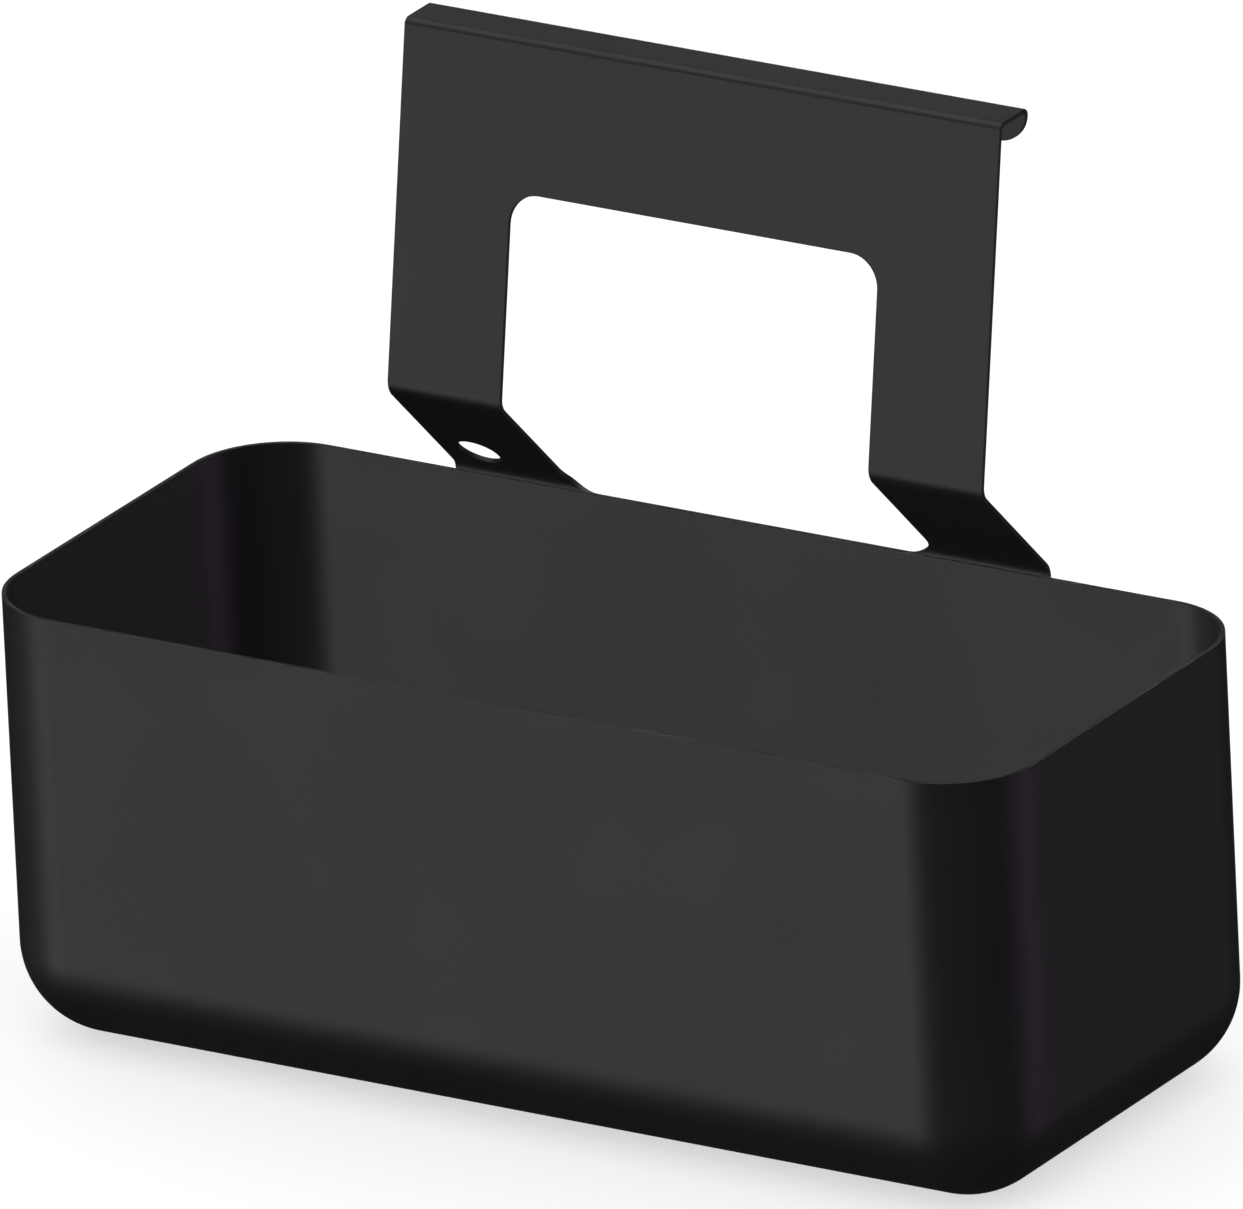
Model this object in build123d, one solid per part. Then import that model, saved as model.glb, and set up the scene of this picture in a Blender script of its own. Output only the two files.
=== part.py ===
from build123d import *
import os
from math import cos, radians, sin, sqrt, tan

# A tool storage caddy: a deep-drawn steel tub with a bent steel hanger bracket bolted behind it.
# Millimetres. X runs along the tub, +Y to its back, +Z up. The origin is the centre of the
# tub's flat base, which is level when the caddy hangs from its hook.

# ---- Driving dimensions ----

SHEET = 1.5                  # thickness of the tub's and the bracket's steel sheet

TUB_LENGTH = 360.0
TUB_DEPTH = 160.0
TUB_HEIGHT = 142.0
TUB_RADIUS = 30.0            # outside, at the upright corners and round the base

BRACKET_WIDTH = 210.0
LEG_WIDTH = 40.0
LEG_ANGLE = 45.0             # the legs lean forwards from upright
LEG_RISE = 36.0              # height between the corners of the bends at a leg's ends
PLATE_ANGLE = 10.0           # the back plate leans backwards from upright
HOOK_TOP = 293.5             # height of the hook's top face, the top of the caddy
HOOK_HEIGHT = 12.0           # overall height of the hook's lip
HAND_HOLE_RISE = 67.7        # up the plate, from the knee's corner to the hand hole's top edge
HAND_HOLE_DROP = 1.1         # how far the hand hole's lower edge is below the tub's rim
FLANGE_DROP = 60.0           # how far the flange reaches down behind the tub from its rim
BEND_RADIUS = 5.0            # inside radius of the bends at the legs' ends
HOOK_BEND_RADIUS = 1.0       # inside radius of the hook's two bends
CORNER_RADIUS = 10.0         # corners of the hand hole, the hook's lip and the flange

LEG_HOLE_DIAMETER = 14.0
LEG_HOLE_RISE = 11.8         # up the leg, from the lower bend's corner to the hole's centre
LEG_HOLE_INSET = 14.0        # from the leg's outer edge to the hole's centre

STUD_DIAMETER = 5.0          # M5 weld studs on the tub's rear wall
STUD_LENGTH = 10.0
STUD_CHAMFER = 0.6
STUD_FLANGE_DIAMETER = 6.5
STUD_FLANGE_HEIGHT = 1.0
STUD_DROPS = {"upper": 18.0, "lower": 44.0}     # depth of each row of studs below the rim
STUD_HOLE_DIAMETER = 7.0     # in the bracket's flange, clear of the studs' own flanges
WASHER_BORE = 5.3
WASHER_DIAMETER = 10.0
WASHER_THICKNESS = 1.0
NUT_ACROSS_FLATS = 8.0
NUT_HEIGHT = 4.7
NUT_CHAMFER_ANGLE = 30.0     # of the turned-off corners, from the nut's end faces
NUT_END_RATIO = 0.95         # width of the round end faces, as a share of the width across flats
NUT_TURNS = {"upper_left": 8.0, "upper_right": 41.0, "lower_left": 24.0, "lower_right": 52.0}

# ---- Worked out ----

REAR = TUB_DEPTH / 2                            # the tub's rear face, level with the hook's back
HAND_HOLE_WIDTH = BRACKET_WIDTH - 2 * LEG_WIDTH
LEG_CENTRE = (BRACKET_WIDTH - LEG_WIDTH) / 2
CLEAR = 30.0                                    # how far a cutter runs past the sheet it cuts


def upright(lean):
    """The direction of a sheet that leans backwards from upright by so many degrees."""
    return Vector(0, sin(radians(lean)), cos(radians(lean)))


def facing(lean):
    """The forward normal of a sheet that leans backwards by so many degrees."""
    return Vector(0, -cos(radians(lean)), sin(radians(lean)))


# The bracket's front face, at the points where its flats would meet if the bends were sharp.
# The lower bend starts level with the tub's rim.
bend_setback = BEND_RADIUS * tan(radians(LEG_ANGLE / 2))
heel = Vector(0, REAR, TUB_HEIGHT + bend_setback)
knee = heel + upright(-LEG_ANGLE) * (LEG_RISE / cos(radians(LEG_ANGLE)))
crest = knee + upright(PLATE_ANGLE) * ((HOOK_TOP - knee.Z) / cos(radians(PLATE_ANGLE)))


def rounded_box(length, depth, height, radius):
    """A box standing on Z = 0, rounded at its upright edges and round its base."""
    box = Box(length, depth, height, align=(Align.CENTER, Align.CENTER, Align.MIN))
    rounded_edges = [edge for edge in box.edges() if edge.center().Z < height - radius]
    return fillet(rounded_edges, radius)


def tub():
    """The drawn tub: one wall thickness all over, with a plain rim."""
    outside = rounded_box(TUB_LENGTH, TUB_DEPTH, TUB_HEIGHT, TUB_RADIUS)
    inside = rounded_box(TUB_LENGTH - 2 * SHEET, TUB_DEPTH - 2 * SHEET, TUB_HEIGHT,
                         TUB_RADIUS - SHEET)
    return outside - Pos(0, 0, SHEET) * inside


def bent_sheet():
    """The bracket before it is cut out: flange, leg, plate, hook and lip in one section."""
    front = FilletPolyline(
        Vector(0, REAR, TUB_HEIGHT - FLANGE_DROP), heel, knee, crest,
        Vector(0, REAR, HOOK_TOP), Vector(0, REAR, HOOK_TOP - HOOK_HEIGHT),
        radius=(BEND_RADIUS, BEND_RADIUS + SHEET,
                HOOK_BEND_RADIUS + SHEET, HOOK_BEND_RADIUS + SHEET))
    section = front.wire().offset_2d(SHEET, side=Side.LEFT, closed=True)
    return extrude(Face(section), amount=BRACKET_WIDTH / 2, dir=(1, 0, 0), both=True)


def sheet_plane(point, lean):
    """A plane on a sheet's front face: x along the tub, y up the sheet, z forwards."""
    return Plane(origin=point, x_dir=(1, 0, 0), z_dir=facing(lean))


def window(width, low, high, round_top):
    """A rectangle from low to high, with its top or its bottom pair of corners rounded."""
    outline = Pos(0, (low + high) / 2) * Rectangle(width, high - low)
    corners = outline.vertices().sort_by(Axis.Y)
    return fillet(corners[2:] if round_top else corners[:2], CORNER_RADIUS)


def hand_hole():
    """The hand hole, which runs from the back plate down between the legs to the flange."""
    mid_bend = LEG_ANGLE / 2
    foot = -(bend_setback + HAND_HOLE_DROP) * cos(radians(mid_bend))
    upper = sheet_plane(knee, PLATE_ANGLE) * window(
        HAND_HOLE_WIDTH, -CORNER_RADIUS, HAND_HOLE_RISE, round_top=True)
    lower = sheet_plane(heel, -mid_bend) * window(
        HAND_HOLE_WIDTH, foot, LEG_RISE, round_top=False)
    return extrude(upper, amount=CLEAR, both=True) + extrude(lower, amount=CLEAR, both=True)


def leg_hole():
    """The round hole in the left leg, square to the leg."""
    place = sheet_plane(heel, -LEG_ANGLE) * Pos(
        LEG_HOLE_INSET - BRACKET_WIDTH / 2, LEG_HOLE_RISE)
    return place * Cylinder(LEG_HOLE_DIAMETER / 2, CLEAR)


def foot_corners(foot):
    """What rounding the two lower corners of a hanging sheet takes away, at the rear face."""
    strip = Pos(0, CORNER_RADIUS / 2) * Rectangle(BRACKET_WIDTH, CORNER_RADIUS)
    rounded = window(BRACKET_WIDTH, 0, 2 * CORNER_RADIUS, round_top=False)
    place = sheet_plane(Vector(0, REAR, foot), 0)
    return extrude(place * (strip - rounded), amount=2 * SHEET, both=True)


def behind_tub(x, drop):
    """A place on the tub's rear face, so far below the rim, with z pointing backwards."""
    return Plane(origin=(x, REAR, TUB_HEIGHT - drop), x_dir=(1, 0, 0), z_dir=(0, 1, 0))


def hanger_bracket():
    """The bracket: one flat-cut and bent sheet."""
    sheet = bent_sheet() - hand_hole() - leg_hole()
    for foot in (HOOK_TOP - HOOK_HEIGHT, TUB_HEIGHT - FLANGE_DROP):
        sheet -= foot_corners(foot)
    for place in stud_places().values():
        sheet -= place * Cylinder(STUD_HOLE_DIAMETER / 2, CLEAR)
    return sheet


def stud_places():
    """Where the four studs stand, by name: two under each leg."""
    return {f"{row}_{side}": behind_tub(x, drop)
            for row, drop in STUD_DROPS.items()
            for side, x in (("left", -LEG_CENTRE), ("right", LEG_CENTRE))}


def disc(diameter, height):
    """A cylinder standing on its own origin."""
    return Cylinder(diameter / 2, height, align=(Align.CENTER, Align.CENTER, Align.MIN))


def weld_stud():
    """A capacitor-discharge weld stud: a thin flange and a shank with a bevelled end."""
    shank = disc(STUD_DIAMETER, STUD_LENGTH)
    shank = chamfer(shank.edges().sort_by(Axis.Z)[-1], STUD_CHAMFER)
    return shank + disc(STUD_FLANGE_DIAMETER, STUD_FLANGE_HEIGHT)


def washer():
    """A flat washer, lying on the back of the flange."""
    ring = disc(WASHER_DIAMETER, WASHER_THICKNESS) - disc(WASHER_BORE, WASHER_THICKNESS)
    return Pos(0, 0, SHEET) * ring


def nut():
    """A hexagon nut on its washer, with its corners turned off at both ends."""
    hexagon = extrude(RegularPolygon(NUT_ACROSS_FLATS / sqrt(3), 6), NUT_HEIGHT)
    end_radius = NUT_END_RATIO * NUT_ACROSS_FLATS / 2
    wide_radius = end_radius + NUT_HEIGHT / tan(radians(NUT_CHAMFER_ANGLE))
    standing = (Align.CENTER, Align.CENTER, Align.MIN)
    upper_cone = Cone(wide_radius, end_radius, NUT_HEIGHT, align=standing)
    lower_cone = Cone(end_radius, wide_radius, NUT_HEIGHT, align=standing)
    body = hexagon & upper_cone & lower_cone
    return Pos(0, 0, SHEET + WASHER_THICKNESS) * (body - disc(STUD_DIAMETER, NUT_HEIGHT))


os.makedirs("parts", exist_ok=True)
export_step(tub(), "parts/tub.step")
export_step(hanger_bracket(), "parts/hanger_bracket.step")
for name, place in stud_places().items():
    export_step(place * weld_stud(), f"parts/weld_stud_{name}.step")
    export_step(place * washer(), f"parts/washer_{name}.step")
    export_step(place * Rot(0, 0, NUT_TURNS[name]) * nut(), f"parts/nut_{name}.step")
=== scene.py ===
from math import asin, ceil, copysign, cos, floor, pi, radians, sin, tan

import bmesh
import bpy
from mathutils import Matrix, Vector
from mathutils.geometry import tessellate_polygon


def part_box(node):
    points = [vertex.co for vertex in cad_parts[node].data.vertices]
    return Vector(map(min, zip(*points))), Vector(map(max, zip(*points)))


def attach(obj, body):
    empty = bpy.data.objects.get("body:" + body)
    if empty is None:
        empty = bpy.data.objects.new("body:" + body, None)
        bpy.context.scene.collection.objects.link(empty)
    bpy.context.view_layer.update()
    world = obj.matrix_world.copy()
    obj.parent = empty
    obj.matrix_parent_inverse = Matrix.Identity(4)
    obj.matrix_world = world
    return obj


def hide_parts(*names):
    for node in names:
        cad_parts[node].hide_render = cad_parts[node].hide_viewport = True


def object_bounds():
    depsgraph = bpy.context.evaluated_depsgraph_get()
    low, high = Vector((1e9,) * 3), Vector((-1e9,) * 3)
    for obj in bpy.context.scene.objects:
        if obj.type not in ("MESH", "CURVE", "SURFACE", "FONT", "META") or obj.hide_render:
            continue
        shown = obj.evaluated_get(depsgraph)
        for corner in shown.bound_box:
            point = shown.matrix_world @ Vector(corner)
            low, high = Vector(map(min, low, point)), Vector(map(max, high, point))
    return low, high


# A tool storage caddy: a black powder-coated steel tub, and the bent hanger bracket that is
# bolted behind it. Metres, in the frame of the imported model: X runs along the tub, +Y to its
# back, +Z up. Each piece is built anew around its CAD node and stands in for it.

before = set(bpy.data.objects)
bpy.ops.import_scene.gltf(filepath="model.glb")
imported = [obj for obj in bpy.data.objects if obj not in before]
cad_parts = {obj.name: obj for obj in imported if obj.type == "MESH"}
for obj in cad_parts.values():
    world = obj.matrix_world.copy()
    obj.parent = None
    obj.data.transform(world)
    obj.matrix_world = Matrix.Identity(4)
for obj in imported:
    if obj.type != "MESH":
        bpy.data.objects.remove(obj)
cad_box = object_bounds()

MM = 0.001

# ---- Sizes read from the frame ----

tub_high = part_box("tub")[1]
bracket_low, bracket_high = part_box("hanger_bracket")

TUB_HALF_LENGTH = tub_high.x
REAR = tub_high.y                    # the tub's rear face, level with the back of the hook
RIM = tub_high.z
BRACKET_HALF_WIDTH = bracket_high.x
FLANGE_FOOT = bracket_low.z
HOOK_TOP = bracket_high.z
SHEET = bracket_high.y - REAR        # one gauge of steel for the tub and the bracket

# ---- Sizes of the tub and the bracket ----

TUB_RADIUS = 30 * MM                 # outside, at the upright corners and round the base
LEG_WIDTH = 40 * MM
LEG_ANGLE = 45                       # degrees forwards from upright
LEG_RISE = 36 * MM                   # between the sharp corners of the bends at a leg's ends
PLATE_ANGLE = 10                     # degrees backwards from upright
HOOK_HEIGHT = 12 * MM
BEND_RADIUS = 5 * MM                 # inside radius of the bends at the legs' ends
HOOK_BEND_RADIUS = 1 * MM            # inside radius of the hook's two bends
CORNER_RADIUS = 10 * MM              # corners of the sheet and of the hand hole
HAND_HOLE_RISE = 67.7 * MM           # up the plate, from the knee's sharp corner
HAND_HOLE_DROP = 1.1 * MM            # below the tub's rim
LEG_HOLE_RADIUS = 7 * MM
LEG_HOLE_RISE = 11.8 * MM            # up the leg, from the lower bend's sharp corner
LEG_HOLE_INSET = 14 * MM             # from the leg's outer edge
STUD_HOLE_RADIUS = 3.5 * MM
EDGE_RADIUS = 0.18 * MM              # the coating rounds every cut edge this much
RIM_RADIUS = 0.08 * MM               # and the tub's trimmed rim this much

# ---- Sizes of the fasteners ----

STUD_RADIUS = 2.5 * MM
STUD_CHAMFER = 0.6 * MM
STUD_FLANGE_RADIUS = 3.25 * MM
STUD_FLANGE_HEIGHT = 1 * MM
STUD_TIP_BEVEL = 0.1 * MM            # the last of the tip's chamfer, which is blunter
THREAD_PITCH = 0.8 * MM
THREAD_DEPTH = 0.45 * MM
THREAD_RUN_OUT = 0.4 * MM            # plain shank between the stud's flange and its thread
THREAD_FLANK = 1.35                  # the V's slope, in thread depths for each half pitch
THREAD_CREST = 0.17                  # what the flat crest cuts off the V, in thread depths
THREAD_STEPS = 10                    # points of the section in each pitch
NUT_THREAD_RATIO = 0.8               # how deep the nut's thread is, as a share of the stud's
NUT_THREAD_CLEARANCE = 0.02 * MM
WASHER_RADIUS = 5 * MM
WASHER_BORE_RADIUS = 2.65 * MM
WASHER_THICKNESS = 1 * MM
WASHER_ROLLED_EDGE = 0.25 * MM       # on the face away from the bracket
WASHER_BURR = 0.05 * MM              # on the other face
NUT_HALF_FLATS = 4 * MM              # half the width across flats
NUT_HEIGHT = 4.7 * MM
NUT_CHAMFER_ANGLE = 30
NUT_END_RATIO = 0.95                 # the round end faces, as a share of the width across flats
NUT_CORNER_WEAR = 0.12 * MM          # off the six corners
NUT_MOUTH = 0.35 * MM                # the countersink at each end of the thread
NUT_TURNS = {"upper_left": 8, "upper_right": 41, "lower_left": 24, "lower_right": 52}

# ---- Fineness of the meshes ----

CORNER_STEPS = 28                    # in each quarter turn of the tub
HOLE_STEPS = 12                      # in each quarter turn of a hole or a sheet corner
EDGE_STEPS = 3                       # round each broken edge
BEND_STEP = 5                        # degrees of a bend between two creases
TURN_STEPS = 48                      # round a fastener
JOIN_PRECISION = 1e7                 # points that agree to so many parts of a metre are joined
CREASE_SNAP = 1e-7                   # how near a crease, in metres, a point counts as on it


def finished_piece(name, points, faces, wear_and_painted_highlight, slot, material, *nodes):
    """A smooth mesh piece that rides on the caddy, stands for its CAD nodes, and knows its edges.
    The wear numbers say how much handling polishes the coating at each point and, on the
    powder-coated pieces, how much painted highlight their edges get, from 0 to 1."""
    mesh = bpy.data.meshes.new(name)
    mesh.from_pydata(points, [], faces)
    attribute = mesh.attributes.new("edge_wear_and_painted_highlight", "FLOAT", "POINT")
    attribute.data.foreach_set("value", wear_and_painted_highlight)
    mesh.materials.append(material)
    mesh.shade_smooth()
    piece = bpy.data.objects.new(name, mesh)
    bpy.context.scene.collection.objects.link(piece)
    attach(piece, "root")
    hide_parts(*nodes)
    return piece


def weigh_normals(piece, sharp_angle):
    """Keeps flats flat and rounds round in the shading; creases over the angle stay sharp."""
    piece.data.set_sharp_from_angle(angle=radians(sharp_angle))
    modifier = piece.modifiers.new("flats stay flat", "WEIGHTED_NORMAL")
    modifier.weight = 100
    modifier.keep_sharp = True


def merged(points, faces, wear_and_painted_highlight):
    """The same mesh with its coincident points joined and its collapsed faces taken out."""
    joined, places, new_of = [], {}, []
    for point in points:
        key = tuple(round(value * JOIN_PRECISION) for value in point)
        if key not in places:
            places[key] = len(joined)
            joined.append(point)
        new_of.append(places[key])
    new_wear_and_painted_highlight = [0.0] * len(joined)
    for old, new in enumerate(new_of):
        new_wear_and_painted_highlight[new] = wear_and_painted_highlight[old]
    kept = []
    for face in faces:
        corners = [new_of[i] for i in face]
        corners = [c for i, c in enumerate(corners) if c != corners[i - 1]]
        if len(corners) > 2:
            kept.append(corners)
    return joined, kept, new_wear_and_painted_highlight


def bridge(ring_a, ring_b):
    """Quads between two closed rings of point numbers."""
    count = len(ring_a)
    return [(ring_a[i], ring_a[(i + 1) % count], ring_b[(i + 1) % count], ring_b[i])
            for i in range(count)]


# ---- The tub ----

def rounding_wear_and_painted_highlight(angle):
    """How polished a rounded edge is, and how much painted highlight it gets: most in the middle of
    its quarter turn.
    """
    return 1 - abs(angle - 45) / 45


def tub_profile():
    """(inset from the outside wall, height, wear and painted highlight) from the edge of the flat
    base, up, over the rim, and down the inside to the edge of the flat floor."""
    fillet = [90 - 90 * i / CORNER_STEPS for i in range(CORNER_STEPS + 1)]
    rounding = [90 * i / EDGE_STEPS for i in range(EDGE_STEPS + 1)]
    inner_radius = TUB_RADIUS - SHEET
    outside = [(TUB_RADIUS - TUB_RADIUS * cos(radians(a)),
                TUB_RADIUS - TUB_RADIUS * sin(radians(a)), 0.0) for a in fillet]
    rim = [(RIM_RADIUS - RIM_RADIUS * cos(radians(a)),
            RIM - RIM_RADIUS + RIM_RADIUS * sin(radians(a)), rounding_wear_and_painted_highlight(a))
           for a in rounding]
    inner_rim = [(SHEET - inset, height, wear_and_painted_highlight) for inset, height, wear_and_painted_highlight in reversed(rim)]
    inside = [(TUB_RADIUS - inner_radius * cos(radians(a)),
               TUB_RADIUS - inner_radius * sin(radians(a)), 0.0) for a in reversed(fillet)]
    return outside + rim + inner_rim + inside


def tub_ring(inset, height):
    """One level outline of the tub: a rectangle with round corners."""
    radius = TUB_RADIUS - inset
    centre = (TUB_HALF_LENGTH - TUB_RADIUS, REAR - TUB_RADIUS)
    ring = []
    for quarter, (side_x, side_y) in enumerate(((1, 1), (-1, 1), (-1, -1), (1, -1))):
        for step in range(CORNER_STEPS + 1):
            angle = radians(90 * (quarter + step / CORNER_STEPS))
            ring.append((side_x * centre[0] + radius * cos(angle),
                         side_y * centre[1] + radius * sin(angle), height))
    return ring


def tub(material):
    """The drawn tub, one closed skin from its flat underside round to its flat floor."""
    points, wear_and_painted_highlight, rings = [], [], []
    for inset, height, ring_wear_and_painted_highlight in tub_profile():
        ring = tub_ring(inset, height)
        rings.append(list(range(len(points), len(points) + len(ring))))
        points += ring
        wear_and_painted_highlight += [ring_wear_and_painted_highlight] * len(ring)
    faces = [list(reversed(rings[0])), rings[-1]]
    for lower, upper in zip(rings, rings[1:]):
        faces += bridge(lower, upper)
    points, faces, wear_and_painted_highlight = merged(points, faces, wear_and_painted_highlight)
    piece = finished_piece("tub_shell", points, faces, wear_and_painted_highlight, "tub_coat", material, "tub")
    weigh_normals(piece, 60)


# ---- The hanger bracket, cut flat and then folded ----

LOWER_BEND_SETBACK = BEND_RADIUS * tan(radians(LEG_ANGLE / 2))
KNEE_RADIUS = BEND_RADIUS + SHEET                # of the front face, outside the bend
CREST_RADIUS = HOOK_BEND_RADIUS + SHEET
KNEE_TURN = LEG_ANGLE + PLATE_ANGLE
CREST_TURN = 90 - PLATE_ANGLE
KNEE_SETBACK = KNEE_RADIUS * tan(radians(KNEE_TURN / 2))
CREST_SETBACK = CREST_RADIUS * tan(radians(CREST_TURN / 2))

heel_height = RIM + LOWER_BEND_SETBACK
knee_height = heel_height + LEG_RISE
crest_depth = (REAR - LEG_RISE * tan(radians(LEG_ANGLE))
               + (HOOK_TOP - knee_height) * tan(radians(PLATE_ANGLE)))
flange_run = RIM - FLANGE_FOOT
leg_run = LEG_RISE / cos(radians(LEG_ANGLE)) - LOWER_BEND_SETBACK - KNEE_SETBACK
plate_run = ((HOOK_TOP - knee_height) / cos(radians(PLATE_ANGLE))
             - KNEE_SETBACK - CREST_SETBACK)
hook_run = REAR - crest_depth - CREST_SETBACK - CREST_RADIUS
lip_run = HOOK_HEIGHT - CREST_RADIUS

# Each straight run, and the bend that ends it: degrees turned backwards, and the front
# face's radius there.
SECTIONS = (
    (flange_run, -LEG_ANGLE, BEND_RADIUS),
    (leg_run, KNEE_TURN, KNEE_RADIUS),
    (plate_run, CREST_TURN, CREST_RADIUS),
    (hook_run, 90, CREST_RADIUS),
    (lip_run, 0, 0),
)


def up_sheet(lean):
    """The direction up a sheet that leans backwards by so many degrees."""
    return Vector((0, sin(radians(lean)), cos(radians(lean))))


def behind_sheet(lean):
    """The direction out of the back of such a sheet."""
    return Vector((0, cos(radians(lean)), -sin(radians(lean))))


def folded(flat):
    """Where a point of the flat sheet ends up, and how far the sheet leans there. A flat point
    is (across, along from the flange's foot, behind the front face)."""
    across, left, behind = flat
    place, lean = Vector((across, REAR, FLANGE_FOOT)), 0
    for run, turn, radius in SECTIONS:
        if left <= run or not turn:
            return place + up_sheet(lean) * left + behind_sheet(lean) * behind, lean
        place, left = place + up_sheet(lean) * run, left - run
        side = 1 if turn > 0 else -1
        centre = place + behind_sheet(lean) * radius * side
        bend_run = radius * radians(abs(turn))
        if left < bend_run:
            lean += turn * left / bend_run
            front = centre - behind_sheet(lean) * radius * side
            return front + behind_sheet(lean) * behind, lean
        lean += turn
        place, left = centre - behind_sheet(lean) * radius * side, left - bend_run


def along_starts():
    """How far along the flat sheet each section starts, and the sheet's whole length."""
    starts = [0.0]
    for run, turn, radius in SECTIONS:
        starts.append(starts[-1] + run + radius * radians(abs(turn)))
    return starts


def crease_lines():
    """Where along the flat sheet the mesh needs a line, to bend smoothly."""
    lines = []
    for start, (run, turn, radius) in zip(along_starts(), SECTIONS):
        steps = ceil(abs(turn) / BEND_STEP)
        lines += [start + run + radius * radians(abs(turn)) * i / steps
                  for i in range(steps + 1) if steps]
    return lines


def rounded_outline(left, right, foot, top, radius, grow):
    """A rectangle with four round corners, grown outwards by so much, as (across, along)."""
    outline = []
    corners = ((right, top, -1, -1), (left, top, 1, -1), (left, foot, 1, 1), (right, foot, -1, 1))
    for quarter, (x, y, inward_x, inward_y) in enumerate(corners):
        centre = (x + inward_x * radius, y + inward_y * radius)
        for step in range(HOLE_STEPS + 1):
            angle = radians(90 * (quarter + step / HOLE_STEPS))
            outline.append((centre[0] + (radius + grow) * cos(angle),
                            centre[1] + (radius + grow) * sin(angle)))
    return outline


def round_hole(x, y, radius):
    """The limits of a round hole, as a rounded outline takes them."""
    return x - radius, x + radius, y - radius, y + radius, radius


def across_lower_bend(height, behind):
    """How far along the flat sheet a cut meets it that is square to the middle of the lower bend:
    so far above the bend's sharp corner, and so far behind the front face."""
    half_turn = radians(LEG_ANGLE / 2)
    middle = flange_run + BEND_RADIUS * half_turn
    radius = BEND_RADIUS + behind
    bent = radius * sin(half_turn)
    if abs(height) < bent:
        return middle + BEND_RADIUS * asin(height / radius)
    past = BEND_RADIUS * half_turn + (abs(height) - bent) / cos(half_turn)
    return middle + copysign(past, height)


def hand_hole_outline(grow, behind):
    """The hand hole, from the plate down between the legs to just below the tub's rim. Its lower
    corners are cut square to the middle of the lower bend."""
    half_width = BRACKET_HALF_WIDTH - LEG_WIDTH
    plate_start = along_starts()[2]
    top = plate_start + HAND_HOLE_RISE - KNEE_SETBACK
    foot = -(LOWER_BEND_SETBACK + HAND_HOLE_DROP) * cos(radians(LEG_ANGLE / 2))
    outline = rounded_outline(-half_width, half_width, foot, top, CORNER_RADIUS, grow)
    return [(across, along if along > plate_start else across_lower_bend(along, behind))
            for across, along in outline]


def sheet_outlines(inset, behind):
    """The sheet's own outline, its hand hole, its leg hole and its stud holes, so far behind the
    front face, each set so far back into the metal."""
    leg_start = along_starts()[1]
    holes = [round_hole(LEG_HOLE_INSET - BRACKET_HALF_WIDTH,
                        leg_start + LEG_HOLE_RISE - LOWER_BEND_SETBACK, LEG_HOLE_RADIUS)]
    for name in NUT_TURNS:
        low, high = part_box(f"weld_stud_{name}")
        middle = (low + high) / 2
        holes.append(round_hole(middle.x, middle.z - FLANGE_FOOT, STUD_HOLE_RADIUS))
    outside = rounded_outline(-BRACKET_HALF_WIDTH, BRACKET_HALF_WIDTH, 0.0, along_starts()[-1],
                              CORNER_RADIUS, -inset)
    holes = [rounded_outline(*hole, inset) for hole in holes]
    return [outside, hand_hole_outline(inset, behind)] + holes


def edge_profile():
    """(how far in from a cut edge, how far behind the front face, wear and painted highlight), round
    the edge.
    """
    rounding = [90 - 90 * i / EDGE_STEPS for i in range(EDGE_STEPS + 1)]
    front = [(EDGE_RADIUS - EDGE_RADIUS * cos(radians(a)),
              EDGE_RADIUS - EDGE_RADIUS * sin(radians(a)), rounding_wear_and_painted_highlight(a))
             for a in rounding]
    return front + [(inset, SHEET - behind, wear_and_painted_highlight) for inset, behind, wear_and_painted_highlight in reversed(front)]


def flat_sheet():
    """The sheet as it is cut, before bending: points, faces, and wear and painted highlight."""
    points, faces, wear_and_painted_highlight, levels = [], [], [], []
    for inset, behind, level_wear_and_painted_highlight in edge_profile():
        loops = []
        for outline in sheet_outlines(inset, behind):
            loops.append(list(range(len(points), len(points) + len(outline))))
            points += [(across, along, behind) for across, along in outline]
            wear_and_painted_highlight += [level_wear_and_painted_highlight] * len(outline)
        levels.append(loops)
    for level, next_level in zip(levels, levels[1:]):
        for loop, next_loop in zip(level, next_level):
            faces += bridge(loop, next_loop)
    for loops in (levels[0], levels[-1]):
        numbers = [i for loop in loops for i in loop]
        triangles = tessellate_polygon([[Vector(points[i][:2] + (0,)) for i in loop]
                                        for loop in loops])
        faces += [tuple(numbers[i] for i in triangle) for triangle in triangles]
    return merged(points, faces, wear_and_painted_highlight)


def hanger_bracket(material):
    """The bracket: the flat sheet, creased at its bends, folded, and given its true normals."""
    points, faces, wear_and_painted_highlight = flat_sheet()
    piece = finished_piece("bracket_sheet", points, faces, wear_and_painted_highlight, "bracket_coat", material,
                           "hanger_bracket")
    sheet = bmesh.new()
    sheet.from_mesh(piece.data)
    bmesh.ops.recalc_face_normals(sheet, faces=sheet.faces[:])
    for along in crease_lines():
        everything = sheet.verts[:] + sheet.edges[:] + sheet.faces[:]
        bmesh.ops.bisect_plane(sheet, geom=everything, dist=CREASE_SNAP,
                               plane_co=(0, along, 0), plane_no=(0, 1, 0))
    bmesh.ops.triangulate(sheet, faces=[face for face in sheet.faces if len(face.verts) > 4])
    normals = []
    nearly = EDGE_RADIUS / 10
    for vert in sheet.verts:
        if nearly < vert.co.z < SHEET - nearly:
            flat_normal = sum((face.normal * face.calc_area() for face in vert.link_faces),
                              Vector())
        else:
            flat_normal = Vector((0, 0, vert.co.z - SHEET / 2))
        place, lean = folded(vert.co)
        normals.append((Vector((flat_normal.x, 0, 0)) + up_sheet(lean) * flat_normal.y
                        + behind_sheet(lean) * flat_normal.z).normalized())
        vert.co = place
    bmesh.ops.recalc_face_normals(sheet, faces=sheet.faces[:])
    sheet.to_mesh(piece.data)
    sheet.free()
    piece.data.shade_smooth()
    piece.data.normals_split_custom_set_from_vertices(normals)


# ---- The fasteners ----

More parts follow.
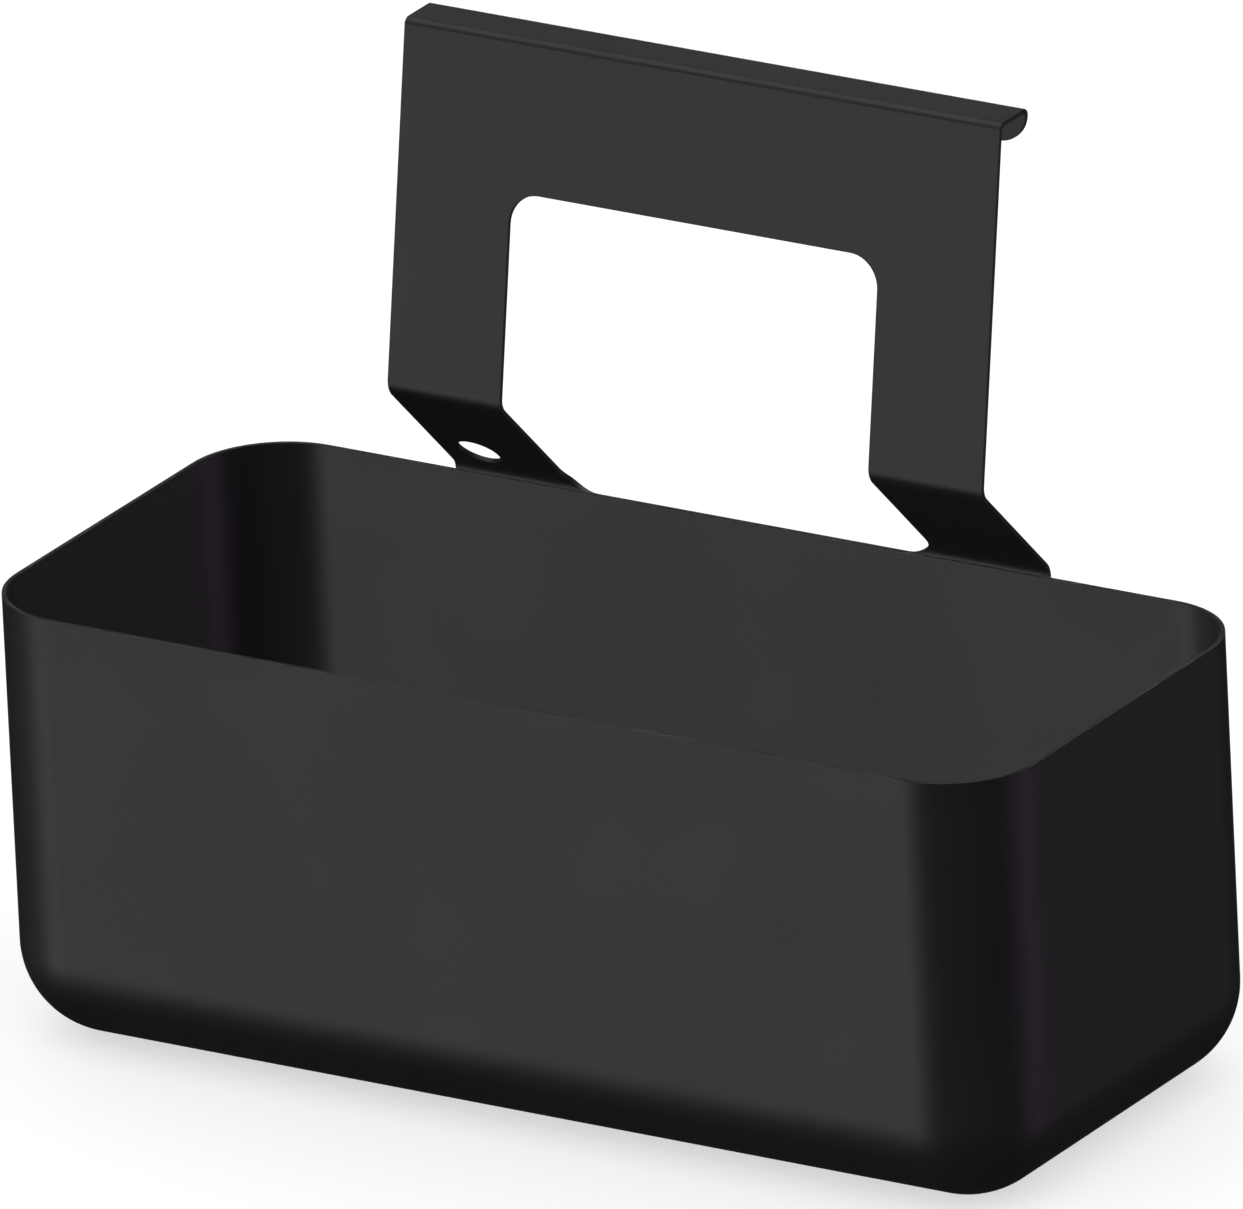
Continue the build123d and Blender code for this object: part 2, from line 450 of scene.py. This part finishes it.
def turned_piece(name, profile, reach, side, slot, material, *nodes):
    """A piece turned about an axis that points backwards, at side (x, z), from Y = reach.
    profile gives, for an angle from +X towards +Z, the (radius, distance along the axis, wear)
    of each point of a closed section."""
    points, wear_and_painted_highlight, rings = [], [], []
    for step in range(TURN_STEPS):
        angle = 2 * pi * step / TURN_STEPS
        section = profile(angle)
        rings.append(list(range(len(points), len(points) + len(section))))
        for radius, along, point_wear in section:
            points.append((side[0] + radius * cos(angle), reach + along,
                           side[1] + radius * sin(angle)))
            wear_and_painted_highlight.append(point_wear)
    faces = []
    for ring, next_ring in zip(rings, rings[1:] + rings[:1]):
        faces += bridge(ring, next_ring)
    points, faces, wear_and_painted_highlight = merged(points, faces, wear_and_painted_highlight)
    return finished_piece(name, points, faces, wear_and_painted_highlight, slot, material, *nodes)


def thread_depth(angle, along, start):
    """How far a right-hand thread is cut in at a place: a V with a flat crest and a flat root."""
    turns = (along - start) / THREAD_PITCH + angle / (2 * pi)
    from_crest = 1 - abs(turns - floor(turns) - 0.5) * 2
    return THREAD_DEPTH * min(1.0, max(0.0, from_crest * THREAD_FLANK - THREAD_CREST))


def stud_section(length):
    """The section of a threaded weld stud, from its foot on the axis to its tip on the axis."""
    thread_start = STUD_FLANGE_HEIGHT + THREAD_RUN_OUT
    thread_end = length - STUD_CHAMFER / 2
    steps = ceil((thread_end - thread_start) / THREAD_PITCH * THREAD_STEPS)

    def section(angle):
        outline = [(0, 0, 0), (STUD_FLANGE_RADIUS, 0, 0),
                   (STUD_FLANGE_RADIUS, STUD_FLANGE_HEIGHT, 1),
                   (STUD_RADIUS, STUD_FLANGE_HEIGHT, 0)]
        for step in range(steps + 1):
            along = thread_start + (thread_end - thread_start) * step / steps
            fade_in = min(1.0, (along - thread_start) / THREAD_PITCH)
            depth = thread_depth(angle, along, thread_start) * fade_in
            bevelled = STUD_RADIUS - max(0.0, along - (length - STUD_CHAMFER))
            radius = min(STUD_RADIUS - depth, bevelled)
            outline.append((radius, along, 1 - depth / THREAD_DEPTH))
        tip = STUD_RADIUS - STUD_CHAMFER
        return outline + [(tip, length - STUD_TIP_BEVEL / 2, 1),
                          (tip - STUD_TIP_BEVEL, length, 0.5), (0, length, 0)]

    return section


def washer_section(angle):
    """A stamped washer, the same at every angle: one face has rolled edges, the other sharp."""
    bore, rim, top = WASHER_BORE_RADIUS, WASHER_RADIUS, WASHER_THICKNESS
    rolled, burr = WASHER_ROLLED_EDGE, WASHER_BURR
    halfway = rolled * 0.3               # how far the middle of a rolled edge is from its faces
    return [
        (bore, burr, 0.5), (bore + burr, 0, 0.5), (rim - burr, 0, 0.5), (rim, burr, 1),
        (rim, top - rolled, 1), (rim - halfway, top - halfway, 1), (rim - rolled, top, 0.5),
        (bore + rolled, top, 0), (bore + halfway, top - halfway, 1), (bore, top - rolled, 0.5)]


def nut_section(turn):
    """A hexagon nut whose hexagon is turned by so many degrees about its bore."""
    end_radius = NUT_END_RATIO * NUT_HALF_FLATS
    slope = tan(radians(NUT_CHAMFER_ANGLE))
    widest = NUT_HALF_FLATS / cos(radians(30)) - NUT_CORNER_WEAR
    steps = ceil(NUT_HEIGHT / THREAD_PITCH * THREAD_STEPS)

    def section(angle):
        from_flat = (angle + radians(turn)) % (pi / 3) - pi / 6
        side = min(NUT_HALF_FLATS / cos(from_flat), widest)
        turned_off = (side - end_radius) * slope
        outline = [(STUD_RADIUS + NUT_MOUTH, 0, 0.5), (end_radius, 0, 0.6),
                   (side, turned_off, 1), (side, NUT_HEIGHT - turned_off, 1),
                   (end_radius, NUT_HEIGHT, 0.6), (STUD_RADIUS + NUT_MOUTH, NUT_HEIGHT, 0.5)]
        for step in range(steps, -1, -1):
            along = NUT_MOUTH + (NUT_HEIGHT - 2 * NUT_MOUTH) * step / steps
            depth = thread_depth(angle, along, 0) * NUT_THREAD_RATIO
            outline.append((STUD_RADIUS - depth + NUT_THREAD_CLEARANCE, along, 0))
        return outline

    return section


def fasteners(copper, zinc):
    """At each of the four places, a weld stud, a washer and a nut."""
    for name, turn in NUT_TURNS.items():
        low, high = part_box(f"weld_stud_{name}")
        side = ((low.x + high.x) / 2, (low.z + high.z) / 2)
        stud = turned_piece(f"stud_{name}", stud_section(high.y - low.y), low.y, side,
                            "stud_copper", copper, f"weld_stud_{name}")
        weigh_normals(stud, 40)
        washer = turned_piece(f"flat_washer_{name}", washer_section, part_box(f"washer_{name}")[0].y,
                              side, "zinc_plate", zinc, f"washer_{name}")
        weigh_normals(washer, 40)
        nut = turned_piece(f"hex_nut_{name}", nut_section(turn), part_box(f"nut_{name}")[0].y,
                           side, "zinc_plate", zinc, f"nut_{name}")
        weigh_normals(nut, 25)


# ---- Materials ----

class Paint:
    """A node material under construction, round one Principled shader."""

    def __init__(self, name):
        self.material = bpy.data.materials.new(name)
        self.material.use_nodes = True
        self.nodes = self.material.node_tree.nodes
        self.links = self.material.node_tree.links
        self.shader = self.nodes["Principled BSDF"]
        self.place = self.nodes.new("ShaderNodeTexCoord").outputs["Object"]

    def set(self, socket, value):
        self.shader.inputs[socket].default_value = value

    def join(self, source, socket):
        self.links.new(source, self.shader.inputs[socket])

    def noise(self, size, detail=2.0, stretch=(1, 1, 1), seed=0.0):
        """Soft random blotches about so many metres across, from 0 to 1."""
        mapping = self.nodes.new("ShaderNodeMapping")
        mapping.inputs["Scale"].default_value = stretch
        mapping.inputs["Location"].default_value = (seed, seed, seed)
        self.links.new(self.place, mapping.inputs["Vector"])
        noise = self.nodes.new("ShaderNodeTexNoise")
        noise.inputs["Scale"].default_value = 1 / size
        noise.inputs["Detail"].default_value = detail
        self.links.new(mapping.outputs["Vector"], noise.inputs["Vector"])
        return noise.outputs["Fac"]

    def ranged(self, source, low, high, to_low, to_high):
        """source between low and high, spread over to_low to to_high."""
        node = self.nodes.new("ShaderNodeMapRange")
        for socket, value in (("From Min", low), ("From Max", high),
                              ("To Min", to_low), ("To Max", to_high)):
            node.inputs[socket].default_value = value
        self.links.new(source, node.inputs["Value"])
        return node.outputs["Result"]

    def worked(self, operation, a, b):
        """A sum or product of two sources, or of a source and a number."""
        node = self.nodes.new("ShaderNodeMath")
        node.operation = operation
        for socket, value in zip(node.inputs, (a, b)):
            if isinstance(value, (int, float)):
                socket.default_value = value
            else:
                self.links.new(value, socket)
        return node.outputs["Value"]

    def edges(self):
        """How much handling polishes a place, and on a powder coat how much painted highlight it
        gets, from 0 to 1, as the piece's own mesh says.
        """
        node = self.nodes.new("ShaderNodeAttribute")
        node.attribute_name = "edge_wear_and_painted_highlight"
        return node.outputs["Fac"]

    def blend(self, share, colour_a, colour_b):
        """colour_a where share is 0, colour_b where it is 1. Each is a colour or a source."""
        node = self.nodes.new("ShaderNodeMix")
        node.data_type = "RGBA"
        self.links.new(share, node.inputs[0])
        for socket, colour in ((node.inputs[6], colour_a), (node.inputs[7], colour_b)):
            if isinstance(colour, tuple):
                socket.default_value = (*colour, 1)
            else:
                self.links.new(colour, socket)
        return node.outputs[2]

    def bumps(self, height, depth):
        """Relief of that depth in metres from a source between 0 and 1."""
        node = self.nodes.new("ShaderNodeBump")
        node.inputs["Strength"].default_value = 1.0
        node.inputs["Distance"].default_value = depth
        self.links.new(height, node.inputs["Height"])
        self.join(node.outputs["Normal"], "Normal")


def powder_coat(name, seed):
    """Black polyester powder: a satin skin with a faint orange peel and a fine grain, a little
    uneven in gloss, and burnished along the edges that hands and tools rub. Those edges are also
    coloured lighter, partly as wear and partly as a painted highlight along the rims and bends."""
    paint = Paint(name)
    cloud = paint.noise(60 * MM, 3, seed=seed)
    peel = paint.noise(2.6 * MM, 1.5, seed=seed)
    grain = paint.noise(0.45 * MM, 1.0, seed=seed)
    # The edges' lighter colour below is partly wear and partly a painted highlight along the rims
    # and bends.
    rub_and_painted_highlight = paint.worked("MULTIPLY", paint.edges(),
                       paint.ranged(paint.noise(9 * MM, 4, seed=seed), 0.35, 0.65, 0.25, 1.0))
    body = paint.blend(cloud, (0.0052, 0.0052, 0.0054), (0.0068, 0.0067, 0.0068))
    paint.join(paint.blend(rub_and_painted_highlight, body, (0.020, 0.020, 0.021)), "Base Color")
    uneven = paint.ranged(cloud, 0.3, 0.7, 0.40, 0.44)
    speckled = paint.worked("ADD", uneven, paint.ranged(grain, 0.3, 0.7, -0.02, 0.02))
    paint.join(paint.worked("SUBTRACT", speckled, paint.worked("MULTIPLY", rub_and_painted_highlight, 0.10)),
               "Roughness")
    relief = paint.worked("ADD", paint.worked("MULTIPLY", peel, 0.8),
                          paint.worked("MULTIPLY", grain, 0.2))
    paint.bumps(relief, 0.02 * MM)
    paint.set("Specular IOR Level", 0.5)
    return paint.material


def zinc_plating(name):
    """Bright zinc over steel: slightly blue, mottled in gloss, with a barrel-plated bloom."""
    paint = Paint(name)
    bloom = paint.noise(3 * MM, 4)
    scuffs = paint.noise(0.5 * MM, 3, stretch=(1, 6, 1), seed=4.0)
    body = paint.blend(paint.ranged(bloom, 0.35, 0.65, 0, 1),
                       (0.50, 0.52, 0.55), (0.62, 0.63, 0.64))
    paint.join(paint.blend(paint.edges(), body, (0.74, 0.75, 0.76)), "Base Color")
    paint.join(paint.ranged(bloom, 0.3, 0.7, 0.26, 0.44), "Roughness")
    paint.bumps(scuffs, 0.008 * MM)
    paint.set("Metallic", 1.0)
    return paint.material


def copper_flash(name):
    """The thin copper plating of a weld stud, dulled brown in the thread's roots."""
    paint = Paint(name)
    tarnish = paint.noise(1.6 * MM, 4)
    body = paint.blend(paint.ranged(tarnish, 0.35, 0.65, 0, 1),
                       (0.42, 0.20, 0.11), (0.66, 0.34, 0.20))
    paint.join(paint.blend(paint.edges(), (0.28, 0.13, 0.07), body), "Base Color")
    paint.join(paint.ranged(tarnish, 0.3, 0.7, 0.30, 0.48), "Roughness")
    paint.bumps(paint.noise(0.3 * MM, 2, seed=7.0), 0.006 * MM)
    paint.set("Metallic", 1.0)
    return paint.material


def floor_paint():
    """A plain pale floor, matt, with the faintest mottling."""
    paint = Paint("pale floor")
    mottling = paint.noise(0.4, 2)
    paint.join(paint.blend(mottling, (0.80, 0.80, 0.80), (0.82, 0.82, 0.82)), "Base Color")
    paint.set("Roughness", 1.0)
    paint.set("Specular IOR Level", 0.0)
    paint.set("Emission Color", (1.0, 1.0, 1.0, 1.0))
    paint.set("Emission Strength", FLOOR_GLOW)
    paint.material.cycles.emission_sampling = "NONE"
    return paint.material


# ---- The studio ----

FLOOR_RADIUS = 12.0
FLOOR_STEPS = 96                     # round its edge
FLOOR_GAP = 0.05 * MM                # under the caddy's base
FLOOR_GLOW = 0.11                    # thins the caddy's shadow on the floor, as in a light tent
ROOM_LIGHT = 0.62                    # the room's own glow, which softens every shadow
ROOM_SHINE_LOW = 0.012               # what the satin coat mirrors of the room, under eye level
ROOM_SHINE_HIGH = 0.07               # and over it
ROOM_RISE = (-0.25, 0.35)            # the slopes between which one turns into the other
BACKDROP = 1.02                      # as white as the floor

WHITE = (1.0, 1.0, 1.0)
PURPLE = (1.0, 0.62, 1.10)

# Soft lights far away, which cast no shadows, so that each flat face takes one even tone: the
# bearing that the light comes from, in degrees to the right of straight ahead of the caddy's
# front, its height above the horizon, how wide it looks, how bright it looks, and its colour.
LIGHTS = {
    "overhead": (0, 88, 70, 1.55, WHITE),
    "front fill": (-39, -12, 44, 1.36, WHITE),
    "side fill": (118, -21, 30, 0.48, PURPLE),
    "rear fill": (148, -5, 44, 0.11, WHITE),
    "left fill": (-85, -20, 40, 0.08, WHITE),
    "camera fill": (33, 21, 40, 1.0, WHITE),
    "crest fill": (-44, 42, 34, 0.75, WHITE),
    "sky fill": (-147, 24, 50, 0.19, WHITE),
}


def floor_disc():
    """The floor, a large disc just under the caddy's base."""
    mesh = bpy.data.meshes.new("floor")
    shape = bmesh.new()
    bmesh.ops.create_circle(shape, cap_ends=True, radius=FLOOR_RADIUS,
                             segments=FLOOR_STEPS)
    shape.to_mesh(mesh)
    shape.free()
    mesh.materials.append(floor_paint())
    disc = bpy.data.objects.new("floor", mesh)
    disc.location.z = cad_box[0].z - FLOOR_GAP
    disc.visible_glossy = False
    disc.visible_diffuse = False
    disc.visible_shadow = False
    bpy.context.scene.collection.objects.link(disc)


def direction(bearing, height):
    """A unit vector towards a bearing, seen from the caddy, and a height above the horizon."""
    b, h = radians(bearing), radians(height)
    return Vector((sin(b) * cos(h), -cos(b) * cos(h), sin(h)))


def soft_light(name, bearing, height, width, brightness, colour):
    """A far, round, soft light, as bright to look at as brightness says, without shadows."""
    lamp = bpy.data.lights.new(name, "SUN")
    lamp.angle = radians(width)
    lamp.energy = brightness * pi * sin(radians(width / 2)) ** 2
    lamp.color = colour
    lamp.use_shadow = False
    lamp.cycles.use_multiple_importance_sampling = False
    light = bpy.data.objects.new(name, lamp)
    light.rotation_mode = "QUATERNION"
    light.rotation_quaternion = direction(bearing, height).to_track_quat("Z", "Y")
    bpy.context.scene.collection.objects.link(light)


def room():
    """The room round the caddy: an even glow, dimmer where the coat mirrors it."""
    world = bpy.data.worlds.new("studio")
    bpy.context.scene.world = world
    world.use_nodes = True
    nodes, links = world.node_tree.nodes, world.node_tree.links
    background = nodes["Background"]
    ray = nodes.new("ShaderNodeLightPath")
    split = nodes.new("ShaderNodeSeparateXYZ")
    links.new(nodes.new("ShaderNodeTexCoord").outputs["Generated"], split.inputs["Vector"])

    def mixed(share, a, b):
        mix = nodes.new("ShaderNodeMix")
        links.new(share, mix.inputs[0])
        for socket, value in ((mix.inputs[2], a), (mix.inputs[3], b)):
            if isinstance(value, float):
                socket.default_value = value
            else:
                links.new(value, socket)
        return mix.outputs[0]

    rise = nodes.new("ShaderNodeMapRange")
    rise.interpolation_type = "SMOOTHSTEP"
    rise.inputs["From Min"].default_value, rise.inputs["From Max"].default_value = ROOM_RISE
    links.new(split.outputs["Z"], rise.inputs["Value"])
    shine = mixed(rise.outputs["Result"], ROOM_SHINE_LOW, ROOM_SHINE_HIGH)
    lit = mixed(ray.outputs["Is Glossy Ray"], ROOM_LIGHT, shine)
    seen = mixed(ray.outputs["Is Camera Ray"], lit, BACKDROP)
    links.new(seen, background.inputs["Strength"])
    background.inputs["Color"].default_value = (1, 1, 1, 1)


# ---- The camera ----

LENS = 1500                          # a very long lens, which leaves parallel edges parallel
SENSOR = 36
VIEW_BEARING = 32.65                 # degrees to the right of straight ahead
VIEW_HEIGHT = 21.515                 # degrees above the horizon
VIEW_ROLL = 2.735                    # degrees, the horizon rising to the right
VIEW_ACROSS = -3.438 * MM            # the middle of the view, from the middle of the tub's base
VIEW_UP = 133.891 * MM
VIEW_DISTANCE = 15.603


def camera():
    """The camera, far off and a little above, to the right of the caddy's front."""
    data = bpy.data.cameras.new("camera")
    data.sensor_width = SENSOR
    data.lens = LENS
    data.clip_start, data.clip_end = 1.0, 60.0
    camera = bpy.data.objects.new("camera", data)
    back = direction(VIEW_BEARING, VIEW_HEIGHT)
    level = Vector((cos(radians(VIEW_BEARING)), sin(radians(VIEW_BEARING)), 0))
    upright = back.cross(level)
    roll = radians(VIEW_ROLL)
    right = level * cos(roll) - upright * sin(roll)
    up = level * sin(roll) + upright * cos(roll)
    camera.location = right * VIEW_ACROSS + up * VIEW_UP + back * VIEW_DISTANCE
    rotation = camera.rotation_euler.to_matrix()
    for row in range(3):
        rotation[row] = (right[row], up[row], back[row])
    camera.rotation_euler = rotation.to_euler()
    bpy.context.scene.collection.objects.link(camera)
    bpy.context.scene.camera = camera


# ---- The scene ----


bpy.context.scene.view_settings.view_transform = "Standard"
camera()
tub(powder_coat("tub powder coat", 0.0))
hanger_bracket(powder_coat("bracket powder coat", 3.0))
fasteners(copper_flash("copper flash"), zinc_plating("zinc plating"))
floor_disc()
room()
for light_name, light in LIGHTS.items():
    soft_light(light_name, *light)
